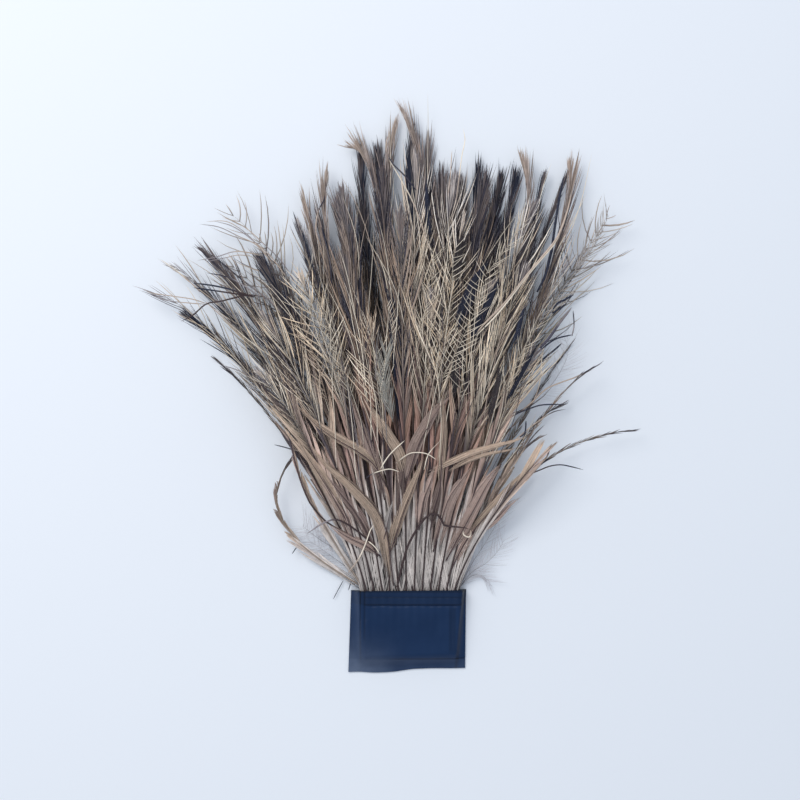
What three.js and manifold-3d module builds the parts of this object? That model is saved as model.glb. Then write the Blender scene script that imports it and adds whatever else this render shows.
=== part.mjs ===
// A bunch of emu feathers whose quills are held in a flat wrap of black tape, lying on its back.
// Each emu feather grows two plumes of nearly equal length from one quill, so each feather here is one
// solid: a quill inside the wrap that forks, near the mouth of the wrap, into two lens-shaped plumes.
// The feathers lie in six layers. In a layer the plumes fan out side by side, and each layer has its own
// height, so the feathers cross each other when seen from above and never touch.
//
// Units are millimetres. The origin is the middle of the wrap's underside, +Y runs along the feathers
// to their tips, and +Z is up, away from the surface that the bunch lies on.
import * as THREE from "three";
import Module from "manifold-3d";
import { mergeVertices } from "three/addons/utils/BufferGeometryUtils.js";

const wasm = await Module();
wasm.setup();

// The tape wrap: its outline seen from above, corner by corner, and its thicknesses
const WRAP_TOP_LEFT = [-33, 23.4];
const WRAP_TOP_RIGHT = [34.2, 24];
const WRAP_BOTTOM_RIGHT = [33.6, -22];
const WRAP_BOTTOM_LEFT = [-34.6, -24.4];
const TAPE = 0.6; // wall, two turns of tape
const FLANGE = 0.8; // where the tape is stuck to itself
const POCKET_LEFT = -28.6;
const POCKET_RIGHT = 32.2;
const POCKET_SIDE_LEAN = 1.2; // how far each side of the pocket leans in, over its height
const POCKET_BOTTOM_Y = -12;
const POCKET_TAPER = 0.82; // the pocket's width at its bottom, as a share of its width at the mouth
const STUCK_SHARE = 0.09; // the share of the wrap's length that is stuck to itself below the quills
const BULGE_WALL = 0.8; // from the pocket's top corners to the bulge's, sideways
const MOUTH_SLOPE = 1.6; // how far the sides of the quills' bulge slope out, at the mouth
const BOTTOM_SLOPE = 5; // and at the bottom

// The feathers
const LAYERS = 6;
const PLUMES_PER_LAYER = 12;
const MOUTH_Y = 24.8;
const MOUTH_LEFT = -24.5;
const MOUTH_RIGHT = 27.2;
const MOUTH_STAGGER = [0, 1, -0.6, 0.5, -1, 0.2]; // each layer's shift sideways in the mouth
const MOUTH_HALF = 27; // feathers this far from the middle still lie as high as the mouth holds them
const MOUTH_PITCH = 0.95; // height from one layer to the next, inside the wrap
const MOST_PITCH_GAIN = 3.6; // how much more that is where the bunch is thickest
const REACH = 290; // from the mouth to the farthest tips
const MOUTH_FAN = 0.6; // a plume's heading at the mouth, as a share of the heading from there to its tip
const SETTLE = 70; // past this distance from the mouth the bottom layer lies on the surface
const CLEARANCE = 0.3;
const QUILL = { bottomY: -11, forkY: 14, width: 2.2 };
const MOUTH_THICK = 0.65; // of the quills and plumes inside the wrap
const PLUME_THICK = 2.2;
const TIP_THICK = 0.5;
const TIP_WIDTH = 0.9;
const LANE_SHARE = 0.44; // a plume's half width is at most this share of the way to the next plume
const STATION_STEP = 21; // from one cross-section of a plume to the next

// Each plume's tip as [x, y, heading of the tip, widest vane], from left to right in each layer. Headings
// are degrees from +Y, positive to the right. A stray plume adds its heading at the mouth, and how far
// the curve holds its headings at the mouth and at the tip, as shares of its length.
const TIPS = [
  [
    [-112, 158, -52, 12], [-130, 184, -60, 8], [-104, 214, -58, 12], [-64, 236, -18, 8],
    [-40, 250, -8, 14], [-17, 278, -2, 15], [12, 284, 2, 15], [31, 262, 3, 14],
    [54, 264, 6, 15], [76, 244, 14, 12], [104, 222, 34, 14], [95, 166, 40, 8],
  ],
  [
    [-96, 152, -50, 10], [-121, 200, -50, 8], [-86, 216, -35, 15], [-51, 236, -14, 8],
    [-27, 276, 0, 15], [3, 288, 2, 14], [20, 266, 4, 14], [41, 268, 0, 15],
    [62, 265, 6, 15], [92, 264, 20, 7], [112, 232, 42, 14], [91, 132, 75, 6],
  ],
  [
    [-63, 105, 42, 3, -60, 0.76, 0.38], [-136, 212, -62, 10], [-103, 243, -55, 12], [-60, 249, -14, 9],
    [-38, 255, -8, 13], [-8, 292, 12, 10], [12, 262, 3, 14], [28, 262, 2, 12],
    [50, 246, 8, 15], [79, 264, 14, 8], [118, 243, 40, 14], [130, 117, 84, 3, 22, 0.4, 0.4],
  ],
  [
    [-150, 197, -80, 10], [-118, 220, -50, 12], [-85, 226, -40, 12], [-63, 235, -16, 12],
    [-47, 263, 12, 9], [-33, 281, -85, 9, -4, 0.5, 0.1], [-3, 302, -30, 11], [22, 262, 6, 13],
    [46, 258, 10, 14], [66, 275, -22, 10], [94, 270, -6, 10], [107, 153, 62, 6],
  ],
  [
    [-67, 110, -6, 4, -34], [-108, 190, -48, 12], [-84, 214, -34, 14], [-58, 230, -18, 12],
    [-38, 252, -9, 15], [-15, 266, -3, 15], [5, 274, 2, 15], [26, 260, 6, 15],
    [45, 264, 10, 15], [72, 246, 20, 14], [92, 214, 32, 12], [76, 113, 62, 9],
  ],
  [
    [-84, 150, -44, 10], [-82, 182, -36, 13], [-62, 206, -26, 14], [-38, 218, -14, 14],
    [-22, 180, -8, 13], [-4, 242, 0, 14], [13, 196, 4, 13], [32, 238, 12, 14],
    [48, 200, 18, 13], [68, 210, 24, 12], [74, 162, 34, 11], [80, 106, 45, 7],
  ],
];

const { degToRad, lerp, smoothstep } = THREE.MathUtils;

// Closes a row of rings, each with the same number of points, into one solid with flat ends.
// Seen from the first ring towards the last, each ring runs anticlockwise.
function loft(rings) {
  const count = rings[0].length;
  const last = (rings.length - 1) * count;
  const index = [];
  for (let row = 0; row < last; row += count) {
    for (let i = 0; i < count; i++) {
      const next = (i + 1) % count;
      index.push(row + i, row + count + i, row + next);
      index.push(row + next, row + count + i, row + count + next);
    }
  }
  for (let i = 1; i < count - 1; i++) {
    index.push(0, i, i + 1);
    index.push(last, last + i + 1, last + i);
  }
  const geometry = new THREE.BufferGeometry().setFromPoints(rings.flat());
  return geometry.setIndex(index);
}

function toSolid(geometry) {
  const merged = mergeVertices(geometry, 1e-4);
  const vertProperties = merged.getAttribute("position").array;
  const triVerts = new Uint32Array(merged.index.array);
  return new wasm.Manifold(new wasm.Mesh({ numProp: 3, vertProperties, triVerts }));
}

function toGeometry(solid) {
  const { numProp, vertProperties, triVerts } = solid.getMesh();
  const points = [];
  for (let i = 0; i < vertProperties.length; i += numProp) {
    points.push(new THREE.Vector3(...vertProperties.subarray(i, i + 3)));
  }
  const geometry = new THREE.BufferGeometry().setFromPoints(points).setIndex(Array.from(triVerts));
  return geometry.toNonIndexed();
}

// The height of a layer's middle over the surface, at the point (x, y) of the fan.
function layerHeight(layer, x, y, thick) {
  const aside = Math.max(0, Math.abs(x) - MOUTH_HALF);
  const away = Math.hypot(aside, Math.max(0, y - MOUTH_Y));
  const fullness = Math.sin(Math.PI * Math.min(1, away / REACH) ** 0.8);
  const pitch = MOUTH_PITCH + MOST_PITCH_GAIN * fullness;
  const inside = TAPE + CLEARANCE + MOUTH_THICK / 2 + layer * MOUTH_PITCH;
  const lying = layer === 0 ? thick / 2 : PLUME_THICK / 2 + layer * pitch;
  return lerp(inside, lying, smoothstep(away, 0, SETTLE));
}

// A plume's shaft, seen from above: a curve from its place in the mouth to its tip.
function shaftCurve(layer, place, [x, y, tipHeading, , mouthHeading, holdMouth = 0.4, holdTip = 0.2]) {
  const mouthX = lerp(MOUTH_LEFT, MOUTH_RIGHT, place / (PLUMES_PER_LAYER - 1)) + MOUTH_STAGGER[layer];
  const start = new THREE.Vector2(mouthX, MOUTH_Y);
  const tip = new THREE.Vector2(x, y);
  const chord = tip.clone().sub(start);
  const leave =
    mouthHeading === undefined ? MOUTH_FAN * Math.atan2(chord.x, chord.y) : degToRad(mouthHeading);
  const arrive = degToRad(tipHeading);
  const out = new THREE.Vector2(Math.sin(leave), Math.cos(leave));
  const back = new THREE.Vector2(-Math.sin(arrive), -Math.cos(arrive));
  out.multiplyScalar(holdMouth * chord.length()).add(start);
  back.multiplyScalar(holdTip * chord.length()).add(tip);
  return new THREE.CubicBezierCurve(start, out, back, tip);
}

// The cross-section of a plume at one point: a lens with the shaft as its ridge.
function lensRing(x, y, z, heading, width, thick) {
  const sideX = (Math.cos(heading) * width) / 2;
  const sideY = (-Math.sin(heading) * width) / 2;
  return [
    new THREE.Vector3(x - sideX, y - sideY, z),
    new THREE.Vector3(x, y, z - thick / 2),
    new THREE.Vector3(x + sideX, y + sideY, z),
    new THREE.Vector3(x, y, z + thick / 2),
  ];
}

function distanceTo(point, neighbours) {
  return Math.min(...neighbours.flat().map((other) => other.distanceTo(point)));
}

// A plume: narrow in the mouth, widest past the middle, and pointed, and never wider than its lane allows.
function plumeSolid(layer, curve, neighbours, widest, forkX) {
  const steps = Math.max(6, Math.round(curve.getLength() / STATION_STEP));
  const rings = [];
  rings.push(
    lensRing(forkX, QUILL.forkY, layerHeight(layer, forkX, QUILL.forkY, MOUTH_THICK), 0, 1.2, 0.55),
  );
  for (let i = 0; i <= steps; i++) {
    const along = i / steps;
    const { x, y } = curve.getPointAt(along);
    const tangent = curve.getTangentAt(along);
    const swell = smoothstep(along, -0.35, 0.55) * (1 - smoothstep(along, 0.7, 1.04));
    const lane = 2 * LANE_SHARE * distanceTo(new THREE.Vector2(x, y), neighbours);
    const wanted = Math.max(TIP_WIDTH, widest * swell);
    const width = along === 1 ? TIP_WIDTH : Math.min(wanted, lane);
    const grown = lerp(MOUTH_THICK, PLUME_THICK, smoothstep(along, 0, 0.35));
    const thick = lerp(grown, TIP_THICK, smoothstep(along, 0.45, 1)) * (widest < 5 ? 0.6 : 1);
    const z = layerHeight(layer, x, y, thick);
    rings.push(lensRing(x, y, z, Math.atan2(tangent.x, tangent.y), width, thick));
  }
  return toSolid(loft(rings));
}

// The quill: a flattened tube inside the wrap, leaning in to the pocket's narrower bottom.
function quillSolid(layer, forkX) {
  const z = layerHeight(layer, forkX, 0, MOUTH_THICK);
  const ring = (x, y, width, thick) =>
    Array.from({ length: 6 }, (_, i) => {
      const turn = (i * Math.PI) / 3;
      return new THREE.Vector3(x - (Math.cos(turn) * width) / 2, y, z - (Math.sin(turn) * thick) / 2);
    });
  return toSolid(
    loft([
      ring(forkX * POCKET_TAPER, QUILL.bottomY, QUILL.width * 0.6, MOUTH_THICK * 0.7),
      ring(forkX * 0.85, QUILL.bottomY + 4, QUILL.width, MOUTH_THICK),
      ring(forkX, QUILL.forkY + 2, QUILL.width, MOUTH_THICK),
    ]),
  );
}

// One cross-section of the wrap: thin flanges at both sides and the quills' bulge between them.
function wrapRing(share, bulgeLeft, bulgeRight, height) {
  const slope = lerp(BOTTOM_SLOPE, MOUTH_SLOPE, share);
  const leftX = lerp(WRAP_BOTTOM_LEFT[0], WRAP_TOP_LEFT[0], share);
  const leftY = lerp(WRAP_BOTTOM_LEFT[1], WRAP_TOP_LEFT[1], share);
  const rightX = lerp(WRAP_BOTTOM_RIGHT[0], WRAP_TOP_RIGHT[0], share);
  const rightY = lerp(WRAP_BOTTOM_RIGHT[1], WRAP_TOP_RIGHT[1], share);
  const at = (x, z) =>
    new THREE.Vector3(x, lerp(leftY, rightY, (x - leftX) / (rightX - leftX)), z);
  return [
    at(leftX, 0), at(rightX, 0), at(rightX, FLANGE), at(bulgeRight + slope, FLANGE + 0.2),
    at(bulgeRight, height), at(bulgeLeft, height), at(bulgeLeft - slope, FLANGE + 0.2), at(leftX, FLANGE),
  ];
}

function wrapSolid() {
  const pocketTop = TAPE + 2 * CLEARANCE + MOUTH_THICK + (LAYERS - 1) * MOUTH_PITCH;
  const height = pocketTop + TAPE;
  const topLeft = POCKET_LEFT + POCKET_SIDE_LEAN;
  const topRight = POCKET_RIGHT - POCKET_SIDE_LEAN;
  const bottomBulge = [topLeft * POCKET_TAPER - BULGE_WALL, topRight * POCKET_TAPER + BULGE_WALL];
  const outside = toSolid(
    loft([
      wrapRing(0, ...bottomBulge, FLANGE + 0.4),
      wrapRing(STUCK_SHARE, ...bottomBulge, FLANGE + 0.5),
      wrapRing(2 * STUCK_SHARE, ...bottomBulge, height),
      wrapRing(1, topLeft - BULGE_WALL, topRight + BULGE_WALL, height),
    ]),
  );
  const pocketRing = (y, share) =>
    [
      [POCKET_LEFT, TAPE], [POCKET_RIGHT, TAPE], [topRight, pocketTop], [topLeft, pocketTop],
    ].map(([x, z]) => new THREE.Vector3(x * share, y, z));
  const pocket = toSolid(
    loft([pocketRing(POCKET_BOTTOM_Y, POCKET_TAPER), pocketRing(MOUTH_Y + 4, 1)]),
  );
  return outside.subtract(pocket);
}

const bunch = new THREE.Group();

function addPiece(name, solid, color, roughness) {
  const material = new THREE.MeshStandardMaterial({ color, roughness, metalness: 0 });
  const mesh = new THREE.Mesh(toGeometry(solid), material);
  mesh.name = name;
  bunch.add(mesh);
}

addPiece("tape_wrap", wrapSolid(), 0x1b2230, 0.45);

const LAYER_NAMES = ["bottom", "lower", "low_middle", "high_middle", "upper", "top"];
const LAYER_COLOURS = [0x4a4246, 0x55494a, 0x6b5c55, 0x7d6c62, 0x8c7a6c, 0x9a8878];
TIPS.forEach((tips, layer) => {
  const curves = tips.map((tip, place) => shaftCurve(layer, place, tip));
  const traces = curves.map((curve) => curve.getSpacedPoints(60));
  for (let place = 0; place < PLUMES_PER_LAYER; place += 2) {
    const forkX = (traces[place][0].x + traces[place + 1][0].x) / 2;
    const quill = quillSolid(layer, forkX);
    const plumes = [place, place + 1].map((i) => {
      const neighbours = [traces[i - 1], traces[i + 1]].filter(Boolean);
      return plumeSolid(layer, curves[i], neighbours, tips[i][3], forkX);
    });
    const feather = quill.add(plumes[0]).add(plumes[1]);
    addPiece(`${LAYER_NAMES[layer]}_feather_${place / 2 + 1}`, feather, LAYER_COLOURS[layer], 0.8);
  }
});

export default bunch;
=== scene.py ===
"""Dresses the bunch of emu feathers: shafts and loose barbs in place of the solid plumes, and the taped wrap.

Lengths are millimetres until a mesh is made, which is in metres. The frame is the model's own: the
origin is the middle of the wrap's underside, +Y runs along the feathers and +Z is up.
"""
import math

import bpy
import numpy as np
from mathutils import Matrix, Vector


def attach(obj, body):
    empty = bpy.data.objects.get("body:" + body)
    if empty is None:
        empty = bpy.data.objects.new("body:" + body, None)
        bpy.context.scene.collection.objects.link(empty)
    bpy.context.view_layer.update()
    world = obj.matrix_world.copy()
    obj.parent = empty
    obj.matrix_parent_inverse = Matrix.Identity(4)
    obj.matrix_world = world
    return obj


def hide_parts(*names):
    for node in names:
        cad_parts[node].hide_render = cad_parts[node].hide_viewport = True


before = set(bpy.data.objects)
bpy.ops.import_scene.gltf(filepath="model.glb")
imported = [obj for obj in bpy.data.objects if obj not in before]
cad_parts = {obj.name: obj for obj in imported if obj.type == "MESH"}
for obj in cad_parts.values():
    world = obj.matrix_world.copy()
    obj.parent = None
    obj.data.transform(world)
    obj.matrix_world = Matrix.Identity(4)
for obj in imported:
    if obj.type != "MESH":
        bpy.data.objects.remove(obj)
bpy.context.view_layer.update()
MM = 0.001

# The fan of plumes, as in the solid model
MOUTH_Y = 24.8
MOUTH_LEFT = -24.5
MOUTH_RIGHT = 27.2
MOUTH_STAGGER = [0.0, 1.0, -0.6, 0.5, -1.0, 0.2]
MOUTH_HALF = 27.0
PLUMES = 12
MOUTH_PITCH = 0.95
PITCH_GAIN = 3.6
REACH = 290.0
MOUTH_FAN = 0.6
SETTLE = 70.0
TAPE = 0.6
CLEARANCE = 0.3
MOUTH_THICK = 0.65
PLUME_THICK = 2.2
FORK_Y = 14.0
POCKET_TAPER = 0.82
LAYER_NAMES = ["bottom", "lower", "low_middle", "high_middle", "upper", "top"]

# The camera looks straight down, and its picture spans this much of the surface
CAMERA_CENTRE = np.array([-4.4, 134.6])
CAMERA_HEIGHT = 1000.0
PICTURE_SPAN = 468.0

# Each plume's tip: x, y, heading, style, and where they differ from the others' the heading at the
# mouth and how far the curve holds both headings.
# Styles: n navy brush, d dark, g grey-brown, m light and dark strands, v pale and open,
# t tan brush, k slender dark blade, w slender wing, o open wing, s nearly bare.
TIPS = [[
    (-112, 158, -52, "s"), (-130, 184, -60, "k"), (-104, 214, -58, "o"), (-64, 236, -18, "k"),
    (-40, 250, -8, "g"), (-17, 278, -2, "n"), (12, 284, 2, "g"), (31, 262, 3, "g"),
    (54, 264, 6, "n"), (76, 244, 14, "d"), (104, 222, 34, "w"), (95, 166, 40, "s"),
], [
    (-96, 152, -50, "w"), (-121, 200, -50, "k"), (-86, 216, -35, "g"), (-51, 236, -14, "k"),
    (-27, 276, 0, "n"), (3, 288, 2, "n"), (20, 266, 4, "d"), (41, 268, 0, "n"),
    (62, 265, 6, "n"), (92, 264, 20, "k"), (112, 232, 42, "o"), (91, 132, 75, "s"),
], [
    (-63, 105, 42, "s", -60, 0.76, 0.38), (-136, 212, -62, "w"), (-103, 243, -55, "o"),
    (-60, 249, -14, "t"), (-38, 255, -8, "g"), (-8, 292, 12, "t"), (12, 262, 3, "d"),
    (28, 262, 2, "m"), (50, 246, 8, "d"), (79, 264, 14, "k"), (118, 243, 40, "o"),
    (130, 117, 84, "s", 22, 0.4, 0.4),
], [
    (-150, 197, -80, "w"), (-118, 220, -50, "d"), (-85, 226, -40, "o"), (-63, 235, -16, "w"),
    (-47, 263, 12, "t"), (-33, 281, -85, "t", -4, 0.5, 0.1), (-3, 302, -30, "t"), (22, 262, 6, "g"),
    (46, 258, 10, "g"), (66, 275, -22, "t"), (94, 270, -6, "t"), (107, 153, 62, "s"),
], [
    (-67, 110, -6, "s", -34), (-108, 190, -48, "w"), (-84, 214, -34, "n"), (-58, 230, -18, "w"),
    (-38, 252, -9, "g"), (-15, 266, -3, "d"), (5, 274, 2, "m"), (26, 260, 6, "m"),
    (45, 264, 10, "d"), (72, 246, 20, "m"), (92, 214, 32, "w"), (76, 113, 62, "s"),
], [
    (-84, 150, -44, "m"), (-82, 182, -36, "m"), (-62, 206, -26, "v"), (-38, 218, -14, "g"),
    (-22, 180, -8, "v"), (-4, 242, 0, "g"), (13, 196, 4, "m"), (32, 238, 12, "v"),
    (48, 200, 18, "m"), (68, 210, 24, "m"), (74, 162, 34, "m"), (80, 106, 45, "t"),
]]


def lerp(a, b, t):
    return a + (b - a) * t


def blend(a, b, t):
    """Colours between a and b, one for each value in t."""
    return a + (b - a) * np.asarray(t)[..., None]


def ease(x, low, high):
    """0 below low, 1 above high, smooth between."""
    t = np.clip((x - low) / (high - low), 0, 1)
    return t * t * (3 - 2 * t)


def along_trace(run, at, values):
    return np.stack([np.interp(at, run, values[:, i]) for i in range(values.shape[1])], axis=-1)


def run_along(points):
    """How far along a line each of its points lies."""
    return np.concatenate([[0], np.cumsum(np.hypot(*np.diff(points, axis=0).T))])


def unit(vectors, least=0):
    return vectors / (np.linalg.norm(vectors, axis=-1, keepdims=True) + least)


def right_of(forward):
    return np.stack([forward[:, 1], -forward[:, 0]], 1)


def heading_vector(degrees):
    turn = math.radians(degrees)
    return np.array([math.sin(turn), math.cos(turn)])


def layer_height(layer, x, y):
    """The height of a layer's middle over the surface, at points (x, y) of the fan."""
    aside = np.maximum(0, np.abs(x) - MOUTH_HALF)
    away = np.hypot(aside, np.maximum(0, y - MOUTH_Y))
    fullness = np.sin(np.pi * np.minimum(1, away / REACH) ** 0.8)
    inside = TAPE + CLEARANCE + MOUTH_THICK / 2 + layer * MOUTH_PITCH
    lying = PLUME_THICK / 2 + layer * (MOUTH_PITCH + PITCH_GAIN * fullness)
    return lerp(inside, lying, ease(away, 0, SETTLE))


def mouth_place(layer, place):
    return lerp(MOUTH_LEFT, MOUTH_RIGHT, place / (PLUMES - 1)) + MOUTH_STAGGER[layer]


def shaft_points(layer, place, tip, count=400):
    """A plume's shaft seen from above, from its place in the mouth to its tip, in even steps."""
    mouth_x = mouth_place(layer, place)
    start = np.array([mouth_x, MOUTH_Y])
    end = np.array(tip[:2], float)
    chord = end - start
    reach = np.hypot(*chord)
    leave = tip[4] if len(tip) > 4 else MOUTH_FAN * math.degrees(math.atan2(chord[0], chord[1]))
    hold_mouth, hold_tip = tip[5:] or (0.4, 0.2)
    out = start + heading_vector(leave) * hold_mouth * reach
    back = end - heading_vector(tip[2]) * hold_tip * reach
    t = np.linspace(0, 1, count)[:, None]
    curve = (1 - t) ** 3 * start + 3 * (1 - t) ** 2 * t * out + 3 * (1 - t) * t * t * back + t ** 3 * end
    run = run_along(curve)
    return along_trace(run, np.linspace(0, run[-1], count), curve), run[-1]


def new_object(name, data):
    made = bpy.data.objects.new(name, data)
    bpy.context.scene.collection.objects.link(made)
    return made


class MeshParts:
    """Gathers closed tubes, with a colour at each vertex, into one mesh."""

    def __init__(self):
        self.points, self.faces, self.colours = [], [], []
        self.count = 0

    def add(self, points, faces, colours):
        self.points.append(points.reshape(-1, 3))
        self.colours.append(colours.reshape(-1, 3))
        self.faces.append(faces.reshape(-1, 3) + self.count)
        self.count += len(self.points[-1])

    def to_object(self, name, material):
        points = (np.concatenate(self.points) * MM).astype(np.float32)
        faces = np.concatenate(self.faces).astype(np.int32)
        tint = np.concatenate(self.colours).astype(np.float32)
        tint = np.hstack([tint, np.ones((len(tint), 1), np.float32)])
        mesh = bpy.data.meshes.new(name)
        mesh.vertices.add(len(points))
        mesh.vertices.foreach_set("co", points.ravel())
        mesh.loops.add(faces.size)
        mesh.loops.foreach_set("vertex_index", faces.ravel())
        mesh.polygons.add(len(faces))
        mesh.polygons.foreach_set("loop_start", np.arange(0, faces.size, 3, dtype=np.int32))
        mesh.update(calc_edges=True)
        mesh.shade_smooth()
        attribute = mesh.color_attributes.new("tint", "FLOAT_COLOR", "POINT")
        attribute.data.foreach_set("color", tint.ravel())
        mesh.materials.append(material)
        return new_object(name, mesh)


def tubes(parts, paths, widths, thicks, colours, sides=3):
    """Adds closed pointed tubes: paths is (tubes, points, 3), with the last point as the tip."""
    number, rows = paths.shape[:2]
    along = unit(np.gradient(paths, axis=1), 1e-9)
    side = unit(np.cross(along, [0.0, 0.0, 1.0]), 1e-9)
    up = np.cross(side, along)
    turns = math.pi / 2 + np.arange(sides) * 2 * math.pi / sides
    rings = rows - 1
    across = side[:, :rings, None, :] * (np.cos(turns)[:, None] * widths[:, :rings, None, None] / 2)
    raised = up[:, :rings, None, :] * (np.sin(turns)[:, None] * thicks[:, :rings, None, None] / 2)
    ring_points = paths[:, :rings, None, :] + across + raised
    points = np.concatenate([ring_points.reshape(number, -1, 3), paths[:, -1:, :]], axis=1)
    tint = np.repeat(colours[:, :rings, None, :], sides, axis=2).reshape(number, -1, 3)
    tint = np.concatenate([tint, colours[:, -1:, :]], axis=1)
    faces = []
    for row in range(rings - 1):
        for i in range(sides):
            a, b = row * sides + i, row * sides + (i + 1) % sides
            faces += [(a, b, b + sides), (a, b + sides, a + sides)]
    last = (rings - 1) * sides
    faces += [(last + i, last + (i + 1) % sides, rings * sides) for i in range(sides)]
    faces += [(0, i + 1, i) for i in range(1, sides - 1)]
    step = rings * sides + 1
    offsets = np.arange(number)[:, None, None] * step
    parts.add(points, np.array(faces)[None] + offsets, tint)


def tube(parts, path, widths, flatness, colours, sides=3):
    tubes(parts, path[None], widths[None], widths[None] * flatness, colours[None], sides)


def rgb(*light):
    return np.array(light)


# Colours are linear light
NAVY = rgb(0.020, 0.025, 0.050)
DARK = rgb(0.050, 0.046, 0.066)
BROWN = rgb(0.085, 0.071, 0.080)
GREY = rgb(0.30, 0.268, 0.285)
SHAFT = rgb(0.055, 0.035, 0.037)
GREY_TAN = rgb(0.64, 0.585, 0.56)
PINK = rgb(0.47, 0.355, 0.315)
GOLD = rgb(0.54, 0.42, 0.335)
TAN = rgb(0.50, 0.40, 0.335)
UMBER = rgb(0.225, 0.165, 0.150)
CREAM = rgb(0.98, 0.87, 0.73)
PALE_GREEN = rgb(0.47, 0.455, 0.42)
DOWN_COLOUR = rgb(0.66, 0.64, 0.68)
# The deeper layers get less light and are redder low down
LAYER_TONE = [0.40, 0.44, 0.55, 0.80, 1.0, 1.0]
RED_SHADE = rgb(0.96, 0.78, 0.75)
# Light strands vary towards tan, and the far end of the fan is cooler, with a painted bluish skylight
TAN_SHIFT = rgb(0.78, 0.70, 0.62)
COOL_SHADE = rgb(0.98, 1.03, 1.18)


def look(dark, light, share, tip, tip_from, step, angle, length, blunt=1.0, curve=(1.3, 0.7),
         low_length=1, shaft=SHAFT, tip_angle=0.5, bold=1):
    """What a plume does past its smooth part.

    The colours of its dark and light strands and the share of light ones, the colour of its tip and
    where that starts, the step from barb to barb, the barbs' angle in the open part and near the end,
    their length, how blunt the tip is and how the barbs curve. Then the length of the barbs low down,
    the shaft's colour there, the share of the angle that is left at the tip and how bold the strands are.
    """
    return locals()


STYLES = {
    "n": look(DARK * 0.7, TAN * 0.7, 0.3, NAVY, 0.62, 1.0, (8, 5), 26),
    "d": look(DARK * 0.85, TAN * 0.85, 0.38, DARK, 0.75, 1.15, (9, 6), 30),
    "g": look(DARK * 1.2, TAN, 0.48, GREY * 0.6, 0.8, 1.3, (10, 6), 33, 0.95),
    "m": look(BROWN * 0.75, CREAM, 0.42, GREY, 0.85, 1.15, (12, 7), 37, 0.9, (1.5, 0.5)),
    "v": look(BROWN, CREAM * 1.15, 0.66, TAN, 0.9, 2.1, (26, 10), 23, 0.85, (1.1, 0.9)),
    "t": look(BROWN, TAN, 0.5, TAN, 0.84, 1.3, (8, 4), 28),
    "k": look(DARK * 1.3, TAN, 0.3, NAVY, 0.72, 1.6, (6, 3), 20, low_length=0.7),
    "w": look(BROWN * 1.2, CREAM * 0.95, 0.6, GREY, 0.85, 5.8, (12, 9), 26, 0.95, (1.4, 0.6)),
    "o": look(BROWN * 1.3, CREAM * 0.8, 0.6, TAN * 0.8, 0.8, 7.2, (26, 26), 30, 1.1, (1.4, 0.5),
              tip_angle=0.9, bold=1.3),
    "s": look(BROWN, TAN, 0.5, DARK, 0.8, 3.5, (5, 5), 8, 0.8, low_length=0.3, shaft=TAN * 0.7),
}
# How far up a plume its barbs cling together as a blade, and their width there and past it
SMOOTH_UNTIL = 98.0
BLADE_WIDTH = 0.62
LIGHT_WIDTH = 0.48
DARK_WIDTH = 0.38
# The share of its width and of its colour at each point of a barb, from root to tip
BARB_TAPER = np.array([0.8, 1, 1, 0.75, 0.1])
BARB_SHADE = np.array([0.6, 0.85, 1.0, 1.1, 1.1])
BARB_ROWS = len(BARB_TAPER)


def bent_barbs(root, forward, aside, bend, step):
    """Barbs in even steps from their roots, at the angles in bend, and how far out each point is."""
    ahead = np.cumsum(np.cos(bend) * step, axis=1) - np.cos(bend) * step
    out = np.cumsum(np.sin(bend) * step, axis=1) - np.sin(bend) * step
    return root[:, None, :] + forward[:, None, :] * ahead[..., None] + aside[:, None, :] * out[..., None], out


def plume(parts, rng, layer, place, tip):
    style = STYLES[tip[3]]
    curve, length = shaft_points(layer, place, tip)
    partner = place + 1 if place % 2 == 0 else place - 1
    fork = np.array([(mouth_place(layer, place) + mouth_place(layer, partner)) / 2, FORK_Y])
    lead_in = np.linspace(fork, curve[0], 12)[:-1]
    trace = np.concatenate([lead_in, curve])
    lead = np.hypot(*(curve[0] - fork))
    run = run_along(trace) - lead
    direction = unit(np.gradient(trace, axis=0))
    add_shaft(parts, style, layer, run, trace, lead, length)
    add_barbs(parts, rng, style, layer, run, trace, direction, length)


def add_shaft(parts, style, layer, run, trace, lead, length):
    at = np.linspace(-lead, length, 44)
    path = along_trace(run, at, trace)
    path = np.column_stack([path, layer_height(layer, path[:, 0], path[:, 1]) + 0.2])
    share = np.clip(at / length, 0, 1)
    width = np.interp(share, [0, 0.3, 0.7, 1], [1.0, 0.75, 0.5, 0.12])
    high_colour = blend(style["dark"], style["light"], 0.6) * LAYER_TONE[layer]
    colour = blend(style["shaft"], high_colour, ease(at, 80, 140))
    colour = blend(colour, style["tip"], ease(share, style["tip_from"], 1))
    tube(parts, path, width, 0.8, colour, sides=5)


def barb_roots(rng, style, length):
    """Places of the barbs along the shaft, close together low down and past that as the style says."""
    steps = []
    at = -9.0
    while at < length - 0.3:
        steps.append(at)
        step = lerp(1.15, style["step"], ease(at, 60, SMOOTH_UNTIL))
        at += step * (0.7 if length - at < 20 else 1)
    steps = np.array(steps)
    root_at = np.concatenate([steps, steps + 0.4])
    side = np.concatenate([-np.ones(len(steps)), np.ones(len(steps))])
    root_at += rng.normal(0, 0.22, len(root_at)) * lerp(1, 1.6, ease(root_at, 60, 110))
    return np.minimum(root_at, length - 0.2), side


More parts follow.
